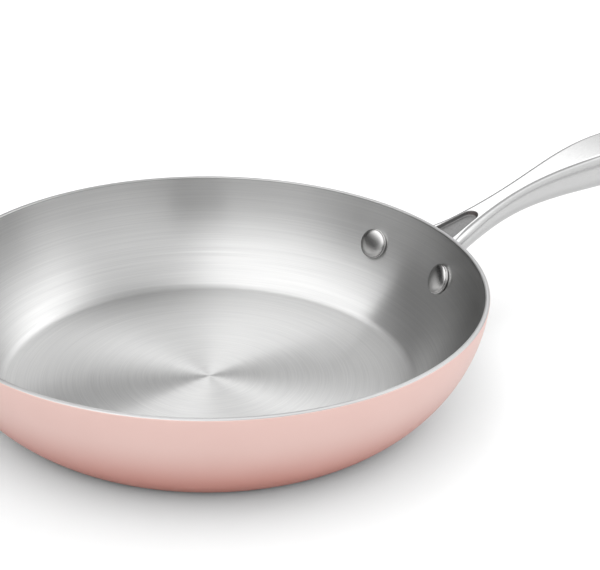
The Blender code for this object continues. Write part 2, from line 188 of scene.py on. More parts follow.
# Studio: white paper below, and a broad light overhead that fades towards the horizon
FLOOR_SIZE = 16.0
FLOOR_DROP = 0.0001
PAPER_PLAIN = (0.70, 0.70, 0.70)
PAPER_MIRRORED = (0.74, 0.74, 0.74)
PAPER_SEEN = (1.0, 1.0, 1.0)
STUDIO_FILL = 0.08
OVERHEAD_LIGHT = 1.84
OVERHEAD_LOW = math.radians(17.0)
OVERHEAD_HIGH = math.radians(47.5)
HORIZON_DIMMING = 0.55
HORIZON_HEIGHT = math.radians(11.0)

# Studio: soft round panels of light, in degrees. An azimuth runs anticlockwise from the camera's right,
# seen from above, and the core is the share of the reach that has the full light
PANELS = {
    "right": {"light": 0.56, "azimuth": 38.0, "elevation": 12.0, "reach": 66.0, "core": 0.2},
    "front": {"light": 0.85, "azimuth": 320.0, "elevation": 2.0, "reach": 50.0, "core": 0.2},
    "left": {"light": 0.52, "azimuth": 240.0, "elevation": 4.0, "reach": 42.0, "core": 0.2},
}

# Studio: round gaps that take a share of the light away, at the back of the room, above the camera,
# between the lights overhead and at the camera's stand
GAPS = {
    "back": {"loss": 0.78, "azimuth": 132.0, "elevation": 12.0, "reach": 38.0, "core": 0.88},
    "front": {"loss": 0.42, "azimuth": 318.0, "elevation": 50.0, "reach": 36.0, "core": 0.2},
    "top": {"loss": 0.78, "azimuth": 42.0, "elevation": 69.0, "reach": 25.0, "core": 0.2},
    "stand": {"loss": 0.8, "azimuth": 275.0, "elevation": 10.0, "reach": 13.0, "core": 0.94},
}

# Finishes: the darker and the lighter shade that the grain runs between
BRUSHED_SHADES = (0.545, 0.545, 0.545), (0.63, 0.63, 0.625)
DULL_SHADES = (0.42, 0.42, 0.42), (0.51, 0.51, 0.505)
ALUMINIUM_SHADES = (0.50, 0.50, 0.505), (0.58, 0.58, 0.585)
BARE_SHADES = (0.50, 0.50, 0.50), (0.60, 0.60, 0.59)
COAT_PALE_SHADES = (0.92, 0.635, 0.58), (0.94, 0.655, 0.60)
# The coat's darker, deeper colour low on the wall is painted shade
COAT_PAINTED_SHADE_COLOURS = (0.72, 0.26, 0.20), (0.74, 0.28, 0.22)
CAST_SHADES = (0.64, 0.64, 0.64), (0.70, 0.70, 0.70)
RECESS_SHADES = (0.20, 0.20, 0.20), (0.32, 0.32, 0.32)
RIVET_SHADES = (0.55, 0.545, 0.54), (0.61, 0.605, 0.60)

# Finishes: the roughness where the grain is low and where it is high
BRUSHED_ROUGHNESS = 0.315, 0.285
ALUMINIUM_ROUGHNESS = 0.46, 0.36
COAT_ROUGHNESS = 0.31, 0.38
CAST_ROUGHNESS = 0.26, 0.18
RECESS_ROUGHNESS = 0.60, 0.48
RIVET_ROUGHNESS = 0.26, 0.20

# Finishes: the part of a noise that is used, and the share of the fine grain and of the recess's mottle
NOISE_LOW = 0.3
NOISE_HIGH = 0.7
FINE_GRAIN_SHARE = 0.7
MOTTLE_SHARE = 0.6

# Coat: heights between which the painted shade at the base fades into the plain coat colour, and the plain
# grey that it throws on the floor
PAINTED_SHADE_FULL_HEIGHT = 0.003
PAINTED_SHADE_END_HEIGHT = 0.037
COAT_BOUNCE = (0.60, 0.60, 0.60, 1.0)


def arc(centre, radius, start, end, steps):
    """Points (across, up) on an arc, both ends included."""
    points = []
    for step in range(steps + 1):
        angle = start + (end - start) * step / steps
        points.append((centre[0] + radius * math.cos(angle), centre[1] + radius * math.sin(angle)))
    return points


def wall_arcs():
    """Centres of the corner arc and the wall arc, the wall arc's radius, and the angle where they join."""
    corner = Vector((BASE_RADIUS, CORNER_RADIUS))
    rim = Vector((RIM_RADIUS, RIM_HEIGHT))
    inward = Vector((-math.sin(RIM_ANGLE), math.cos(RIM_ANGLE)))
    reach = rim - corner
    radius = (CORNER_RADIUS ** 2 - reach.length_squared) / (2 * (reach.dot(inward) + CORNER_RADIUS))
    centre = rim + radius * inward
    outward = (corner - centre).normalized()
    return corner, centre, radius, math.atan2(outward.y, outward.x)


WALL_CORNER, WALL_CENTRE, WALL_RADIUS, WALL_JOIN = wall_arcs()
WALL_END = RIM_ANGLE - math.pi / 2


def outer_radius(height):
    """Radius of the wall's outer surface at a height on the wall arc."""
    return WALL_CENTRE.x + math.sqrt(WALL_RADIUS ** 2 - (height - WALL_CENTRE.y) ** 2)


def surface_profile(depth, short_of_rim=0.0):
    """Points from the axis up to the rim, on the surface this deep inside the outer one."""
    points = [(radius, depth) for radius in FLOOR_RINGS]
    points += arc(WALL_CORNER, CORNER_RADIUS - depth, -math.pi / 2, WALL_JOIN, CORNER_STEPS)[:-1]
    radius = WALL_RADIUS - depth
    end = WALL_END - short_of_rim / radius
    points += arc(WALL_CENTRE, radius, WALL_JOIN, end, WALL_STEPS)
    return points


def rim_point(depth, drop):
    """Point at this depth, this far down the wall from the rim's end face."""
    radius = WALL_RADIUS - depth
    angle = WALL_END - drop / radius
    return Vector((WALL_CENTRE.x + radius * math.cos(angle), WALL_CENTRE.y + radius * math.sin(angle)))


def smooth(mesh):
    """Smooth faces that keep their sharp corners."""
    mesh.shade_smooth()
    mesh.set_sharp_from_angle(angle=SHARP_ANGLE)


def mesh_object(name, shape):
    """An object from a bmesh, which is freed."""
    mesh = bpy.data.meshes.new(name)
    shape.to_mesh(mesh)
    shape.free()
    smooth(mesh)
    item = bpy.data.objects.new(name, mesh)
    bpy.context.scene.collection.objects.link(item)
    return item


def turned(name, profile, steps=TURN_STEPS, place=None):
    """A solid of revolution about Z from an outline that starts and ends on the axis."""
    shape = bmesh.new()
    verts = [shape.verts.new((radius, 0.0, height)) for radius, height in profile]
    edges = [shape.edges.new(pair) for pair in zip(verts, verts[1:])]
    bmesh.ops.spin(
        shape,
        geom=verts + edges,
        cent=(0.0, 0.0, 0.0),
        axis=(0.0, 0.0, 1.0),
        angle=2 * math.pi,
        steps=steps,
        use_merge=True,
    )
    bmesh.ops.remove_doubles(shape, verts=shape.verts[:], dist=MERGE_DISTANCE)
    bmesh.ops.recalc_face_normals(shape, faces=shape.faces[:])
    if place is not None:
        bmesh.ops.transform(shape, matrix=place, verts=shape.verts[:])
    return mesh_object(name, shape)


def layer_outline(outer_depth, inner_depth, outer_round, inner_round):
    """Outline of one layer, with its two edges rounded at the rim."""
    inner = surface_profile(inner_depth, inner_round)
    outer = surface_profile(outer_depth, outer_round)
    inner_centre = rim_point(inner_depth - inner_round, inner_round)
    outer_centre = rim_point(outer_depth + outer_round, outer_round)
    quarter = math.pi / 2
    over_inner = arc(inner_centre, inner_round, RIM_ANGLE + quarter, RIM_ANGLE, ROUND_STEPS)
    over_outer = arc(outer_centre, outer_round, RIM_ANGLE, RIM_ANGLE - quarter, ROUND_STEPS)
    return inner[:-1] + over_inner + over_outer + outer[-2::-1]


def wall_x(across, height, offset):
    """X of the surface this far outside the wall, at a place beside the handle."""
    reach = WALL_RADIUS + offset
    radius = WALL_CENTRE.x + math.sqrt(reach ** 2 - (height - WALL_CENTRE.y) ** 2)
    return math.sqrt(radius ** 2 - across ** 2)


def ease(share):
    """Smooth step from 0 to 1."""
    share = min(max(share, 0.0), 1.0)
    return share * share * (3 - 2 * share)


def blend(start, end, share):
    """Value at a share of the way from the start to the end."""
    return start + (end - start) * share


def top_height(distance):
    """Height of the handle's top line at a distance from its root."""
    # The slope turns by a smooth step over the bend, so the height is that step's integral
    span = BEND_END - BEND_START
    share = max((distance - BEND_START) / span, 0.0)
    turned_share = share ** 3 - share ** 4 / 2 if share < 1.0 else share - 0.5
    root_slope = math.tan(HANDLE_ROOT_ANGLE)
    bend = (math.tan(HANDLE_END_ANGLE) - root_slope) * span * turned_share
    return HANDLE_ROOT_HEIGHT + root_slope * distance + bend


def along_arm(distance, root, waist, grip):
    """A size that runs from its value at the root through the waist to the grip."""
    if distance < WAIST_DISTANCE:
        return blend(waist, root, (1 - distance / WAIST_DISTANCE) ** 2)
    return blend(waist, grip, ease((distance - WAIST_DISTANCE) / (GRIP_DISTANCE - WAIST_DISTANCE)))


def section_depth(distance):
    """Depth of the arm below its top line: a slim neck, a full grip and a lighter end."""
    grip_share = ease((distance - NECK_DISTANCE) / (GRIP_DISTANCE - NECK_DISTANCE))
    depth = blend(NECK_DEPTH, GRIP_DEPTH, grip_share)
    end_share = ease((distance - GRIP_DISTANCE) / (HANDLE_LENGTH - GRIP_DISTANCE))
    flare = (1 - min(max(distance / ROOT_FLARE_LENGTH, 0.0), 1.0)) ** 2
    return depth + (END_DEPTH - GRIP_DEPTH) * end_share + ROOT_FLARE_DEPTH * flare


def end_narrowing(distance):
    """Plan rounding of the free end, 1 along the handle and 0 at its tip."""
    past = (distance - (HANDLE_LENGTH - END_ROUNDING)) / END_ROUNDING
    if past <= 0.0:
        return 1.0
    return math.sqrt(max(0.0, 1 - past ** 2))


def crease_growth(distance):
    """Share of its full size that the crease has at this distance: none at the root and at the tip."""
    return ease((distance - CREASE_START) / (CREASE_FULL - CREASE_START)) * end_narrowing(distance)


def half_section(distance):
    """Right half of the arm's section: a flat top, a soft edge, a creased side and a round belly."""
    narrowing = end_narrowing(distance)
    top = along_arm(distance, ROOT_HALF_WIDTH, WAIST_HALF_WIDTH, GRIP_HALF_WIDTH) * narrowing
    side = along_arm(distance, ROOT_SIDE, WAIST_SIDE, GRIP_SIDE) * narrowing
    full = top + side
    depth = section_depth(distance) * blend(TIP_DEPTH_SHARE, 1.0, narrowing)
    widest = WIDEST_SHARE * depth
    crease_share = crease_growth(distance)
    start = SIDE_START * crease_share
    edge = EDGE_WIDTH * crease_share
    panel = top - edge
    shoulder = edge * math.tan(start) / EDGE_POWER

    points = []
    for step in range(TOP_STEPS + 1):
        share = step / TOP_STEPS
        points.append((share * panel, 0.0))
    for step in range(1, EDGE_STEPS):
        share = step / EDGE_STEPS
        points.append((panel + edge * share, -shoulder * share ** EDGE_POWER))
    for step in range(SHOULDER_STEPS + 1):
        angle = blend(start, math.pi / 2, step / SHOULDER_STEPS)
        out = side * (math.sin(angle) - math.sin(start)) / (1 - math.sin(start))
        down = (widest - shoulder) * (math.cos(start) - math.cos(angle)) / math.cos(start)
        points.append((top + out, -shoulder - down))
    for step in range(1, BELLY_STEPS + 1):
        angle = math.pi / 2 * step / BELLY_STEPS
        inward = full * BELLY_SHARE * (1 - math.cos(angle))
        points.append((full - inward, -widest - (depth - widest) * math.sin(angle)))
    points.append((0.0, -depth))
    return points


def fillet_swell(x, across, height, widest_height, belly_height):
    """How far the arm's surface swells where it runs into the flange's face."""
    gap = x - wall_x(across, height, CLEARANCE + FLANGE_THICKNESS) + FILLET_BITE
    if gap >= FILLET_RADIUS:
        return 0.0
    gap = max(gap, FILLET_BITE)
    fade = ease((height - belly_height) / (widest_height - belly_height))
    return fade * (FILLET_RADIUS - math.sqrt(FILLET_RADIUS ** 2 - (FILLET_RADIUS - gap) ** 2))


def arm_ring(distance):
    """Points of the arm's whole section at a distance from the root."""
    right = half_section(distance)
    left = [(-across, up) for across, up in right[-2:0:-1]]
    flat = right + left
    x = HANDLE_ROOT_RADIUS + distance
    height = top_height(distance)
    belly_height = height - section_depth(distance)
    widest_height = height - WIDEST_SHARE * section_depth(distance)
    fillet_end = RIM_RADIUS + 2 * CLEARANCE + FLANGE_THICKNESS + FILLET_RADIUS
    ring = []
    count = len(flat)
    for index, (across, up) in enumerate(flat):
        before = Vector(flat[index - 1])
        after = Vector(flat[(index + 1) % count])
        run = after - before
        normal = Vector((-run.y, run.x)).normalized()
        place = Vector((across, height + up))
        if x < fillet_end:
            place += normal * fillet_swell(x, place.x, place.y, widest_height, belly_height)
        ring.append((x, place.x, place.y))
    return ring


def skinned(name, rings):
    """A closed body through rings of equally many points."""
    shape = bmesh.new()
    loops = []
    for ring in rings:
        verts = [shape.verts.new(point) for point in ring]
        edges = [shape.edges.new(pair) for pair in zip(verts, verts[1:] + verts[:1])]
        loops.append(edges)
    for first, second in zip(loops, loops[1:]):
        bmesh.ops.bridge_loops(shape, edges=first + second)
    for loop in (loops[0], loops[-1]):
        bmesh.ops.contextual_create(shape, geom=loop)
    bmesh.ops.remove_doubles(shape, verts=shape.verts[:], dist=MERGE_DISTANCE)
    bmesh.ops.recalc_face_normals(shape, faces=shape.faces[:])
    return mesh_object(name, shape)


def arm():
    """The handle's arm, from inside the flange to the round free end."""
    start = outer_radius(HANDLE_ROOT_HEIGHT - section_depth(0.0)) - HANDLE_ROOT_RADIUS
    straight_end = HANDLE_LENGTH - END_ROUNDING
    distances = [blend(start, straight_end, step / ARM_STEPS) for step in range(ARM_STEPS)]
    for step in range(TIP_STEPS + 1):
        angle = TIP_ANGLE * step / TIP_STEPS
        distances.append(straight_end + END_ROUNDING * math.sin(angle))
    return skinned("cast_handle_body", [arm_ring(distance) for distance in distances])


def lobe_centre():
    """Across and height of a flange lobe's centre, on the rivet's line half way through the flange."""
    grip = WALL_THICKNESS + CLEARANCE + FLANGE_THICKNESS / 2
    seat, outward = rivet_seat(1)
    middle = seat + outward * grip
    return middle.y, middle.z


def between(first, last):
    """Points on a straight line, without its two ends."""
    shares = [step / LOBE_STEPS for step in range(1, LOBE_STEPS)]
    return [(blend(first[0], last[0], share), blend(first[1], last[1], share)) for share in shares]


def flange():
    """The flange: a lobe round each rivet joined by a band, wrapped on the outside of the wall."""
    across, height = lobe_centre()
    edge = FLANGE_EDGE_ROUND
    flat = LOBE_RADIUS - edge
    rounds = arc((0.0, 0.0), edge, -math.pi / 2, 0.0, ROUND_STEPS)
    levels = [(share * flat, 0.0) for share in FLANGE_RINGS]
    levels += [(flat + out, edge + up) for out, up in rounds]
    levels += [(flat + out, FLANGE_THICKNESS - edge - up) for out, up in rounds[::-1]]
    levels += [(share * flat, FLANGE_THICKNESS) for share in FLANGE_RINGS[::-1]]

    rings = []
    for radius, lift in levels:
        radius = max(radius, SMALLEST_ROUND)
        right = arc((across, height), radius, -math.pi / 2, math.pi / 2, LOBE_STEPS)
        left = [(-side, up) for side, up in right[::-1]]
        outline = right + between(right[-1], left[0]) + left + between(left[-1], right[0])
        rings.append([(wall_x(y, z, CLEARANCE + lift), y, z) for y, z in outline])
    return skinned("flange", rings)


def rivet_seat(side):
    """Seat on the inner wall and outward direction of the rivet on one side of the handle."""
    inner = WALL_RADIUS - WALL_THICKNESS
    angle = math.asin((RIVET_HEIGHT - WALL_CENTRE.y) / inner)
    radius = WALL_CENTRE.x + inner * math.cos(angle)
    azimuth = side * RIVET_AZIMUTH
    seat = Vector((radius * math.cos(azimuth), radius * math.sin(azimuth), RIVET_HEIGHT))
    out = math.cos(angle)
    outward = Vector((out * math.cos(azimuth), out * math.sin(azimuth), math.sin(angle)))
    return seat, outward


def rivet_place(side):
    """Turn and place that put a rivet's axis, which is along Z, on its seat."""
    seat, outward = rivet_seat(side)
    return Matrix.Translation(seat) @ outward.to_track_quat("Z", "Y").to_matrix().to_4x4()


def pocket_tool():
    """Cutter of the recess, whose rings follow the top face and swell at the lip."""
    tip = POCKET_LENGTH - POCKET_TIP_RADIUS
    slant = math.pi / 2 - math.atan2(POCKET_ROOT_HALF_WIDTH - POCKET_TIP_RADIUS, tip)
    rounds = arc((0.0, 0.0), POCKET_FLOOR_ROUND, -math.pi / 2, 0.0, ROUND_STEPS)
    levels = [(-POCKET_FLOOR_INSET, -POCKET_DEPTH)]
    for out, up in rounds:
        levels.append((out - POCKET_FLOOR_ROUND, POCKET_FLOOR_ROUND + up - POCKET_DEPTH))
    for step in range(ROUND_STEPS + 1):
        angle = math.pi / 2 * step / ROUND_STEPS
        levels.append((POCKET_LIP * (1 - math.cos(angle)), -POCKET_LIP * (1 - math.sin(angle))))
    levels.append((POCKET_LIP, OVERRUN))
    rings = []
    for grow, rise in levels:
        nose = arc((tip, 0.0), POCKET_TIP_RADIUS + grow, -slant, slant, LOBE_STEPS)
        half = POCKET_ROOT_HALF_WIDTH + grow
        corner = max(POCKET_ROOT_CORNER + grow, SMALLEST_ROUND)
        right = arc((corner - grow, half - corner), corner, slant, math.pi, ROUND_STEPS)
        outline = nose + right + [(x, -y) for x, y in right[::-1]]
        ring = []
        for x, y in outline:
            distance = POCKET_START + x
            ring.append((HANDLE_ROOT_RADIUS + distance, y, top_height(distance) + rise))
        rings.append(ring)
    return skinned("pocket_tool", rings)


def slot_tool():
    """Cutter of the hanging slot, with rounded mouths at the top face and the belly."""
    levels = [(SLOT_LIP, OVERRUN, 1.0)]
    for step in range(ROUND_STEPS + 1):
        angle = math.pi / 2 * step / ROUND_STEPS
        levels.append((SLOT_LIP * (1 - math.sin(angle)), -SLOT_LIP * (1 - math.cos(angle)), 1.0))
    for step in range(ROUND_STEPS, -1, -1):
        angle = math.pi / 2 * step / ROUND_STEPS
        levels.append((SLOT_LIP * (1 - math.sin(angle)), SLOT_LIP * (1 - math.cos(angle)), 0.0))
    levels.append((SLOT_LIP, -OVERRUN, 0.0))
    reach = SLOT_LENGTH / 2 - SLOT_RADIUS
    rings = []
    for grow, rise, at_top in levels:
        far = arc((reach, 0.0), SLOT_RADIUS + grow, -math.pi / 2, math.pi / 2, SLOT_STEPS)
        near = arc((-reach, 0.0), SLOT_RADIUS + grow, math.pi / 2, 3 * math.pi / 2, SLOT_STEPS)
        ring = []
        for x, y in far + near:
            distance = SLOT_DISTANCE + x
            depth = section_depth(distance) * (1 - at_top)
            ring.append((HANDLE_ROOT_RADIUS + distance, y, top_height(distance) - depth + rise))
        rings.append(ring)
    return skinned("slot_tool", rings)


def add_bore(shape, radius, depth, place):
    """Add a closed cylinder along Z, turned and moved to its place."""
    bmesh.ops.create_cone(
        shape,
        cap_ends=True,
        segments=HOLE_STEPS,
        radius1=radius,
        radius2=radius,
        depth=depth,
        matrix=place,
    )


def vent_tool():
    """Cutter of the small vent in the grip's belly."""
    belly = top_height(VENT_DISTANCE) - section_depth(VENT_DISTANCE)
    place = Matrix.Translation((HANDLE_ROOT_RADIUS + VENT_DISTANCE, 0.0, belly))
    shape = bmesh.new()
    add_bore(shape, VENT_RADIUS, 2 * VENT_DEPTH, place)
    return mesh_object("vent_tool", shape)


def holes_tool():
    """Cutter of the two rivet holes through the wall and the flange."""
    shape = bmesh.new()
    for side in (1, -1):
        add_bore(shape, RIVET_SHANK_RADIUS, HOLE_LENGTH, rivet_place(side))
    return mesh_object("holes_tool", shape)


def envelope_tool():
    """Filled body of the pan, grown to the middle of the flange."""
    offset = CLEARANCE + FLANGE_THICKNESS / 2
    surface = surface_profile(-offset)
    top = RIM_HEIGHT + OVERRUN
    return turned("envelope_tool", [(0.0, top), (surface[-1][0], top)] + surface[::-1])


def carve(item, tool, operation="DIFFERENCE"):
    """Cut or join with another closed body, which is then removed. Its own material comes along."""
    boolean = item.modifiers.new(tool.name, "BOOLEAN")
    boolean.operation = operation
    boolean.solver = "EXACT"
    boolean.material_mode = "TRANSFER"
    boolean.object = tool
    graph = bpy.context.evaluated_depsgraph_get()
    mesh = bpy.data.meshes.new_from_object(item.evaluated_get(graph))
    item.modifiers.clear()
    item.data = mesh
    smooth(mesh)
    bpy.data.objects.remove(tool, do_unlink=True)


def cast_handle(recess_material):
    """The whole casting, with its recess in a finish of its own."""
    item = arm()
    item.data.materials.append(None)
    carve(item, envelope_tool())
    carve(item, flange(), "UNION")
    recess = pocket_tool()
    recess.data.materials.append(recess_material)
    carve(item, recess)
    carve(item, slot_tool())
    carve(item, vent_tool())
    carve(item, holes_tool())
    return item


def rivet_outline():
    """Outline of a rivet along Z, from the tail's top to the middle of the head's dome."""
    grip = WALL_THICKNESS + FLANGE_THICKNESS + 2 * CLEARANCE
    inner = WALL_RADIUS - WALL_THICKNESS
    sag = inner - math.sqrt(inner ** 2 - RIVET_HEAD_RADIUS ** 2)
    head_face = -sag - CLEARANCE
    skirt_end = head_face - RIVET_SKIRT_HEIGHT
    tail_top = grip + RIVET_TAIL_HEIGHT
    tail_centre = (RIVET_TAIL_RADIUS - RIVET_TAIL_ROUND, tail_top - RIVET_TAIL_DROP)
    points = [(0.0, tail_top)]
    points += arc(tail_centre, RIVET_TAIL_ROUND, RIVET_TAIL_START, 0.0, ROUND_STEPS)
    points += [(RIVET_TAIL_RADIUS, grip), (RIVET_SHANK_RADIUS, grip)]
    points.append((RIVET_SHANK_RADIUS, head_face + UNDERCUT))
    points.append((RIVET_HEAD_RADIUS - UNDERCUT, head_face + UNDERCUT))
    points.append((RIVET_HEAD_RADIUS, head_face))
    skirt_centre = (RIVET_HEAD_RADIUS - RIVET_SKIRT_ROUND, skirt_end + RIVET_SKIRT_ROUND)
    points += arc(skirt_centre, RIVET_SKIRT_ROUND, 0.0, -math.pi / 2, ROUND_STEPS)
    points.append((RIVET_SKIRT_RADIUS, skirt_end))
    for step in range(1, DOME_STEPS):
        angle = math.pi / 2 * step / DOME_STEPS
        height = skirt_end - RIVET_DOME_HEIGHT * math.sin(angle)
        points.append((RIVET_SKIRT_RADIUS * math.cos(angle), height))
    points.append((0.0, skirt_end - RIVET_DOME_HEIGHT))
    return points


def node(tree, kind, settings=None, **inputs):
    """A new node with its settings, and its inputs given as values or as sockets to link."""
    made = tree.nodes.new(kind)
    for name, value in (settings or {}).items():
        setattr(made, name, value)
    for name, value in inputs.items():
        socket = made.inputs[int(name[1:]) if name[1:].isdigit() else name.replace("_", " ")]
        if isinstance(value, bpy.types.NodeSocket):
            tree.links.new(value, socket)
        else:
            socket.default_value = value
    return made


def maths(tree, operation, first, second=0.0, third=0.0):
    """The result of a sum, product or the like of up to three values."""
    made = node(tree, "ShaderNodeMath", {"operation": operation}, i0=first, i1=second, i2=third)
    return made.outputs[0]


def noise(tree, vector, scale, detail=2.0, roughness=0.5):
    """A noise from 0 to 1, which mostly keeps near the middle."""
    made = node(
        tree, "ShaderNodeTexNoise", None, Vector=vector, Scale=scale, Detail=detail, Roughness=roughness
    )
    return made.outputs["Fac"]


def spread(tree, value, low, high):
    """The middle of a noise, stretched from a low to a high value."""
    made = node(
        tree, "ShaderNodeMapRange", None, Value=value, i1=NOISE_LOW, i2=NOISE_HIGH, i3=low, i4=high
    )
    return made.outputs[0]


def stepped(tree, value, low, high):
    """A soft step from 0 at a low value to 1 at a high one."""
    made = node(
        tree, "ShaderNodeMapRange", {"interpolation_type": "SMOOTHSTEP"}, Value=value, i1=low, i2=high
    )
    return made.outputs[0]


def mixed(tree, share, first, second):
    """A colour between two that are sockets or have four values, by a share from 0 to 1."""
    return node(tree, "ShaderNodeMix", {"data_type": "RGBA"}, Factor=share, i6=first, i7=second).outputs[2]


def shades(tree, share, dark, light):
    """A colour between two plain ones, by a share from 0 to 1."""
    return mixed(tree, share, (*dark, 1.0), (*light, 1.0))


def grained(tree, grain, pair):
    """A colour that runs between two plain ones with a noise."""
    return shades(tree, spread(tree, grain, 0.0, 1.0), *pair)


def object_place(tree):
    """The place of a point on its piece."""
    return node(tree, "ShaderNodeTexCoord").outputs["Object"]


def object_height(tree):
    """The height of a point on its piece, which is its height above the pan's underside."""
    return node(tree, "ShaderNodeSeparateXYZ", None, Vector=object_place(tree)).outputs["Z"]


def new_group(name, inputs, outputs):
    """A node group with float inputs and outputs; it gives back the tree, its inputs and its end."""
    tree = bpy.data.node_groups.new(name, "ShaderNodeTree")
    for title, value in inputs.items():
        socket = tree.interface.new_socket(name=title, in_out="INPUT", socket_type="NodeSocketFloat")
        socket.default_value = value
    for title in outputs:
        tree.interface.new_socket(name=title, in_out="OUTPUT", socket_type="NodeSocketFloat")
    return tree, tree.nodes.new("NodeGroupInput").outputs, tree.nodes.new("NodeGroupOutput").inputs


def turned_grain():
    """Brushing in rings about the pan's axis: fine lines, and broad bands with soft ends."""
    tree, given, out = new_group(
        "turned_grain", {"Lines": 3000.0, "Bands": 600.0, "Length": 1.6}, ("Grain", "Broad")
    )
    place = node(tree, "ShaderNodeSeparateXYZ", None, Vector=object_place(tree)).outputs
    flat = node(tree, "ShaderNodeCombineXYZ", None, X=place["X"], Y=place["Y"]).outputs[0]
    radius = node(tree, "ShaderNodeVectorMath", {"operation": "LENGTH"}, i0=flat).outputs["Value"]
    around = node(tree, "ShaderNodeVectorMath", {"operation": "NORMALIZE"}, i0=flat).outputs[0]
    around = node(tree, "ShaderNodeSeparateXYZ", None, Vector=around).outputs
    climb = maths(tree, "ADD", radius, place["Z"])
    for title, spacing in (("Grain", "Lines"), ("Broad", "Bands")):
        row = maths(tree, "MULTIPLY", climb, given[spacing])
        side = maths(tree, "MULTIPLY", around["X"], given["Length"])
        end = maths(tree, "MULTIPLY", around["Y"], given["Length"])
        vector = node(tree, "ShaderNodeCombineXYZ", None, X=side, Y=end, Z=row).outputs[0]
        tree.links.new(noise(tree, vector, scale=1.0), out[title])
    return tree


def long_polish():
    """Polishing lines along the handle, and a slow waviness of the cast surface."""
    tree, given, out = new_group(
        "long_polish", {"Lines": 3000.0, "Stretch": 0.03, "Waves": 90.0}, ("Grain", "Broad")
    )
    place = node(tree, "ShaderNodeSeparateXYZ", None, Vector=object_place(tree)).outputs
    along = maths(tree, "MULTIPLY", place["X"], given["Stretch"])
    vector = node(tree, "ShaderNodeCombineXYZ", None, X=along, Y=place["Y"], Z=place["Z"]).outputs[0]
    tree.links.new(noise(tree, vector, given["Lines"], detail=3.0, roughness=0.6), out["Grain"])
    tree.links.new(noise(tree, object_place(tree), given["Waves"]), out["Broad"])
    return tree


def fine_mottle():
    """A grainy, pebbled surface with a slow drift, as paint and blasted metal have."""
    tree, given, out = new_group("fine_mottle", {"Grains": 4000.0, "Drift": 40.0}, ("Grain", "Broad"))
    place = object_place(tree)
    tree.links.new(noise(tree, place, given["Grains"], roughness=0.6), out["Grain"])
    tree.links.new(noise(tree, place, given["Drift"], detail=3.0), out["Broad"])
    return tree


def effect(tree, group, **inputs):
    """A placed node group and its outputs."""
    return node(tree, "ShaderNodeGroup", {"node_tree": group}, **inputs).outputs


def new_material(name, metallic, roughness, **constants):
    """A material with its tree and its shader's inputs, some of them set to constants."""
    material = bpy.data.materials.new(name)
    material.use_nodes = True
    tree = material.node_tree
    shader = tree.nodes["Principled BSDF"]
    shader.inputs["Metallic"].default_value = metallic
    shader.inputs["Roughness"].default_value = roughness
    for title, value in constants.items():
        shader.inputs[title.replace("_", " ")].default_value = value
    return material, tree, shader.inputs


def bumped(tree, height, strength, distance):
    """A normal that follows a fine relief."""
    made = node(tree, "ShaderNodeBump", None, Strength=strength, Distance=distance, Height=height)
    return made.outputs[0]


def brushed_steel(grain_group):
    """Stainless steel brushed in rings, which stretch reflections across the lines; duller at the rim."""
    material, tree, shader = new_material(
        "concentric_brushed_steel",
        metallic=1.0,
        roughness=0.30,
        Anisotropic=0.97,
        Anisotropic_Rotation=0.25,
    )
    grain = effect(tree, grain_group)
    link = tree.links.new
    height = object_height(tree)
    edge = stepped(tree, height, RIM_HEIGHT - DULL_RIM_DEPTH, RIM_HEIGHT - DULL_RIM_DEPTH / 2)
    fine = maths(tree, "MULTIPLY", grain["Grain"], FINE_GRAIN_SHARE)
    both = maths(tree, "MULTIPLY_ADD", grain["Broad"], 1.0 - FINE_GRAIN_SHARE, fine)
    shine = spread(tree, both, 0.0, 1.0)
    steel = shades(tree, shine, *BRUSHED_SHADES)
    dull = shades(tree, shine, *DULL_SHADES)
    link(mixed(tree, edge, steel, dull), shader["Base Color"])
    link(spread(tree, grain["Broad"], *BRUSHED_ROUGHNESS), shader["Roughness"])
    link(bumped(tree, grain["Grain"], strength=0.03, distance=0.00003), shader["Normal"])
    radial = node(tree, "ShaderNodeTangent", {"direction_type": "RADIAL", "axis": "Z"}).outputs[0]
    link(radial, shader["Tangent"])
    return material


def sheet_aluminium(grain_group):
    """The core's edge, turned flat at the rim."""
    material, tree, shader = new_material("sheet_aluminium", metallic=1.0, roughness=0.4)
    grain = effect(tree, grain_group, Lines=9000.0)
    link = tree.links.new
    link(grained(tree, grain["Grain"], ALUMINIUM_SHADES), shader["Base Color"])
    link(spread(tree, grain["Grain"], *ALUMINIUM_ROUGHNESS), shader["Roughness"])
    link(bumped(tree, grain["Grain"], strength=0.1, distance=0.00002), shader["Normal"])
    return material


def rose_coat(mottle_group, grain_group):
    """Satin rose coating over steel, with painted shade that makes it darker and deeper towards the base.
    The steel is left bare at the rim.
    """
    material, tree, shader = new_material(
        "rose_satin_coat", metallic=0.0, roughness=0.35, Specular_IOR_Level=0.3
    )
    mottle = effect(tree, mottle_group)
    grain = effect(tree, grain_group, Lines=9000.0)
    link = tree.links.new
    height = object_height(tree)
    line = maths(tree, "MULTIPLY_ADD", mottle["Broad"], BARE_RIM_WAVE, RIM_HEIGHT - BARE_RIM_DEPTH)
    bare = stepped(tree, maths(tree, "SUBTRACT", height, line), 0.0, BARE_RIM_SOFTNESS)
    pale = grained(tree, mottle["Broad"], COAT_PALE_SHADES)
    # Painted shade: the rose turns darker and deeper towards the base and fades out higher up
    painted_shade = grained(tree, mottle["Broad"], COAT_PAINTED_SHADE_COLOURS)
    coat_with_painted_shade = mixed(tree, stepped(tree, height, PAINTED_SHADE_FULL_HEIGHT, PAINTED_SHADE_END_HEIGHT), painted_shade, pale)
    steel = grained(tree, grain["Grain"], BARE_SHADES)
    both = mixed(tree, bare, coat_with_painted_shade, steel)
    bounce = node(tree, "ShaderNodeLightPath").outputs["Is Diffuse Ray"]
    link(mixed(tree, bounce, both, COAT_BOUNCE), shader["Base Color"])
    link(bare, shader["Metallic"])
    link(spread(tree, mottle["Grain"], *COAT_ROUGHNESS), shader["Roughness"])
    link(bumped(tree, mottle["Grain"], strength=0.06, distance=0.00003), shader["Normal"])
    return material


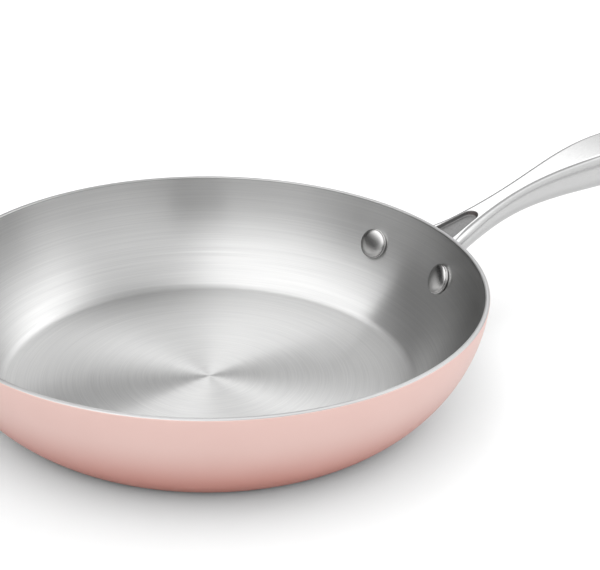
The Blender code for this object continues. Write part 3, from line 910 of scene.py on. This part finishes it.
def cast_steel(polish_group):
    """Polished cast steel with faint lines along the handle."""
    material, tree, shader = new_material("satin_cast_steel", metallic=1.0, roughness=0.2)
    polish = effect(tree, polish_group)
    link = tree.links.new
    link(grained(tree, polish["Grain"], CAST_SHADES), shader["Base Color"])
    link(spread(tree, polish["Grain"], *CAST_ROUGHNESS), shader["Roughness"])
    link(bumped(tree, polish["Grain"], strength=0.05, distance=0.00002), shader["Normal"])
    return material


def blasted_steel(mottle_group, polish_group):
    """Matte cast floor of the handle's recess, with faint tool marks across it."""
    material, tree, shader = new_material("blasted_recess_steel", metallic=1.0, roughness=0.5)
    mottle = effect(tree, mottle_group, Grains=2500.0)
    marks = effect(tree, polish_group, Lines=1200.0, Stretch=0.5)
    link = tree.links.new
    lines = maths(tree, "MULTIPLY", marks["Grain"], 1.0 - MOTTLE_SHARE)
    rough = maths(tree, "MULTIPLY_ADD", mottle["Grain"], MOTTLE_SHARE, lines)
    link(grained(tree, rough, RECESS_SHADES), shader["Base Color"])
    link(spread(tree, mottle["Grain"], *RECESS_ROUGHNESS), shader["Roughness"])
    link(bumped(tree, rough, strength=0.5, distance=0.00008), shader["Normal"])
    return material


def polished_steel(mottle_group):
    """Polished rivet steel, softened a little by use."""
    material, tree, shader = new_material("mirror_rivet_steel", metallic=1.0, roughness=0.23)
    mottle = effect(tree, mottle_group, Grains=3000.0)
    link = tree.links.new
    link(grained(tree, mottle["Grain"], RIVET_SHADES), shader["Base Color"])
    link(spread(tree, mottle["Grain"], *RIVET_ROUGHNESS), shader["Roughness"])
    link(bumped(tree, mottle["Broad"], strength=0.03, distance=0.00005), shader["Normal"])
    return material


def add_piece(item, material, node_name):
    """Give a piece its material, hide the solid from model.glb that it stands for, and hang it on the root
    body.
    """
    if not item.data.materials:
        item.data.materials.append(material)
    item.data.materials[0] = material
    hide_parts(node_name)
    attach(item, "root")


def build_pan():
    """The body's three layers, the handle and the two rivets, each in its finish."""
    edge = LAYER_EDGE_ROUND
    inside = turned(
        "brushed_interior", layer_outline(CORE_DEPTH, WALL_THICKNESS, edge, RIM_INNER_ROUND)
    )
    core = turned("core_layer", layer_outline(COAT_DEPTH, CORE_DEPTH, edge, edge))
    outside = turned("rose_exterior", layer_outline(0.0, COAT_DEPTH, RIM_OUTER_ROUND, edge))
    for layer in (inside, core, outside):
        carve(layer, holes_tool())
    grain = turned_grain()
    polish = long_polish()
    mottle = fine_mottle()
    polished = polished_steel(mottle)
    add_piece(inside, brushed_steel(grain), "inner_steel_skin")
    add_piece(core, sheet_aluminium(grain), "aluminium_core")
    add_piece(outside, rose_coat(mottle, grain), "outer_steel_skin")
    add_piece(cast_handle(blasted_steel(mottle, polish)), cast_steel(polish), "handle")
    for name, side in (("left", 1), ("right", -1)):
        rivet = turned("polished_rivet_" + name, rivet_outline(), RIVET_STEPS, rivet_place(side))
        add_piece(rivet, polished, "rivet_" + name)


def build_camera():
    """The camera, fitted to the picture and placed from the middle of the pan's inside floor."""
    data = bpy.data.cameras.new("camera")
    data.sensor_width = SENSOR_WIDTH
    data.lens = CAMERA_LENS
    camera = bpy.data.objects.new("camera", data)
    bpy.context.scene.collection.objects.link(camera)
    back = CAMERA_DISTANCE * math.cos(CAMERA_ELEVATION)
    up = CAMERA_DISTANCE * math.sin(CAMERA_ELEVATION)
    turn = Matrix.Rotation(-PAN_TURN, 4, "Z")
    look = (
        Matrix.Rotation(-CAMERA_YAW, 4, "Z")
        @ Matrix.Rotation(math.pi / 2 - CAMERA_PITCH, 4, "X")
        @ Matrix.Rotation(CAMERA_ROLL, 4, "Z")
    )
    place = Matrix.Translation((0.0, 0.0, WALL_THICKNESS)) @ turn @ Matrix.Translation((0.0, -back, up))
    camera.matrix_world = place @ look
    bpy.context.scene.camera = camera


def soft_patch(tree, way, patch):
    """How far inside a soft round patch of the studio a direction lies, from 0 to 1."""
    azimuth = math.radians(patch["azimuth"])
    elevation = math.radians(patch["elevation"])
    reach = math.radians(patch["reach"])
    flat = math.cos(elevation)
    middle = Vector((flat * math.cos(azimuth), flat * math.sin(azimuth), math.sin(elevation)))
    cosine = node(tree, "ShaderNodeVectorMath", {"operation": "DOT_PRODUCT"}, i0=way, i1=middle)
    return stepped(tree, cosine.outputs["Value"], math.cos(reach), math.cos(patch["core"] * reach))


def studio_light():
    """The studio round the pan: broad light above, soft panels, and gaps in the light between them."""
    world = bpy.data.worlds.new("studio")
    bpy.context.scene.world = world
    world.use_nodes = True
    tree = world.node_tree
    seen = node(tree, "ShaderNodeTexCoord").outputs["Generated"]
    turn = (0.0, 0.0, -PAN_TURN)
    turned_way = node(tree, "ShaderNodeMapping", {"vector_type": "TEXTURE"}, Vector=seen, Rotation=turn)
    way = turned_way.outputs[0]
    height = node(tree, "ShaderNodeSeparateXYZ", None, Vector=way).outputs["Z"]
    light = stepped(tree, height, math.sin(OVERHEAD_LOW), math.sin(OVERHEAD_HIGH))
    light = maths(tree, "MULTIPLY_ADD", light, OVERHEAD_LIGHT, STUDIO_FILL)
    for panel in PANELS.values():
        light = maths(tree, "MULTIPLY_ADD", soft_patch(tree, way, panel), panel["light"], light)
    for gap in GAPS.values():
        left_over = maths(tree, "MULTIPLY_ADD", soft_patch(tree, way, gap), -gap["loss"], 1.0)
        light = maths(tree, "MULTIPLY", light, left_over)
    clear = stepped(tree, maths(tree, "ABSOLUTE", height), 0.0, math.sin(HORIZON_HEIGHT))
    dimming = maths(tree, "MULTIPLY_ADD", clear, HORIZON_DIMMING, 1.0 - HORIZON_DIMMING)
    light = maths(tree, "MULTIPLY", light, dimming)
    background = tree.nodes["Background"].inputs
    background["Color"].default_value = (1.0, 1.0, 1.0, 1.0)
    tree.links.new(light, background["Strength"])


def build_floor():
    """Paper that is plain white in the picture and a little darker in reflections, and takes the shadow."""
    shape = bmesh.new()
    bmesh.ops.create_grid(shape, x_segments=1, y_segments=1, size=FLOOR_SIZE / 2)
    floor = mesh_object("floor", shape)
    floor.location = (0.0, 0.0, -FLOOR_DROP)
    material, tree, shader = new_material("floor_paper", metallic=0.0, roughness=0.7)
    path = node(tree, "ShaderNodeLightPath").outputs
    mirrored = maths(tree, "MAXIMUM", path["Is Glossy Ray"], path["Is Transmission Ray"])
    paper = shades(tree, mirrored, PAPER_PLAIN, PAPER_MIRRORED)
    seen = mixed(tree, path["Is Camera Ray"], paper, (*PAPER_SEEN, 1.0))
    tree.links.new(seen, shader["Base Color"])
    floor.data.materials.append(material)


scene = bpy.context.scene
scene.view_settings.view_transform = "Standard"
build_camera()
build_pan()
studio_light()
build_floor()
